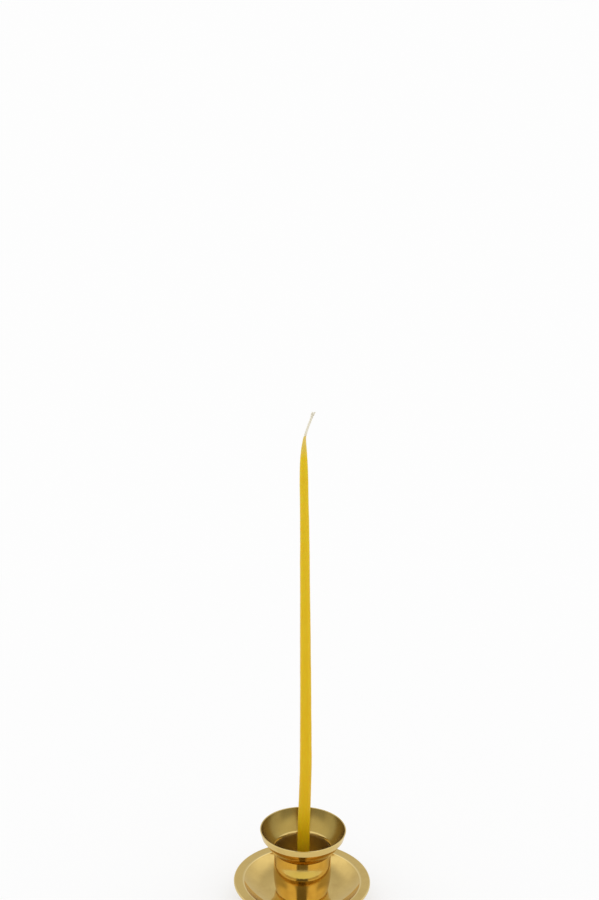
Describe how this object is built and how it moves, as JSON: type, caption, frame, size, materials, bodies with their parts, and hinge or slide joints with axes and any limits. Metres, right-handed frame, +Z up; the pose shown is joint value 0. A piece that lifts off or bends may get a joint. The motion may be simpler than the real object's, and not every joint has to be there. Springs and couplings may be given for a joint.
{
  "type": "havdalah candle",
  "caption": "Slim dipped wax taper with a bare cotton wick, set in a low turned brass cup with a bowl-shaped lip on a round drip pan. The taper lifts out.",
  "frame": {"origin": "centre of the foot ring on the table", "axes": "+Z up along the cup's axis, +X to the right and -Y to the front as pictured"},
  "size_m": [0.056, 0.056, 0.2089],
  "materials": {
    "brass": "polished, satin inside the lip",
    "wax": "satin dyed wax",
    "wick": "plaited waxed cotton",
    "steel": "plain turned steel"
  },
  "bodies": {
    "holder": {"candle_cup": "brass", "drip_pan": "brass", "wax_seat": "wax", "cup_screw": "steel", "washer": "steel"},
    "candle": {"wax_taper": "wax", "wick": "wick"}
  },
  "joints": [
    {"name": "candle_lift", "type": "slide", "parent": "holder", "child": "candle", "axis": [0, 0, 1], "range_m": [0, 0.04]}
  ]
}
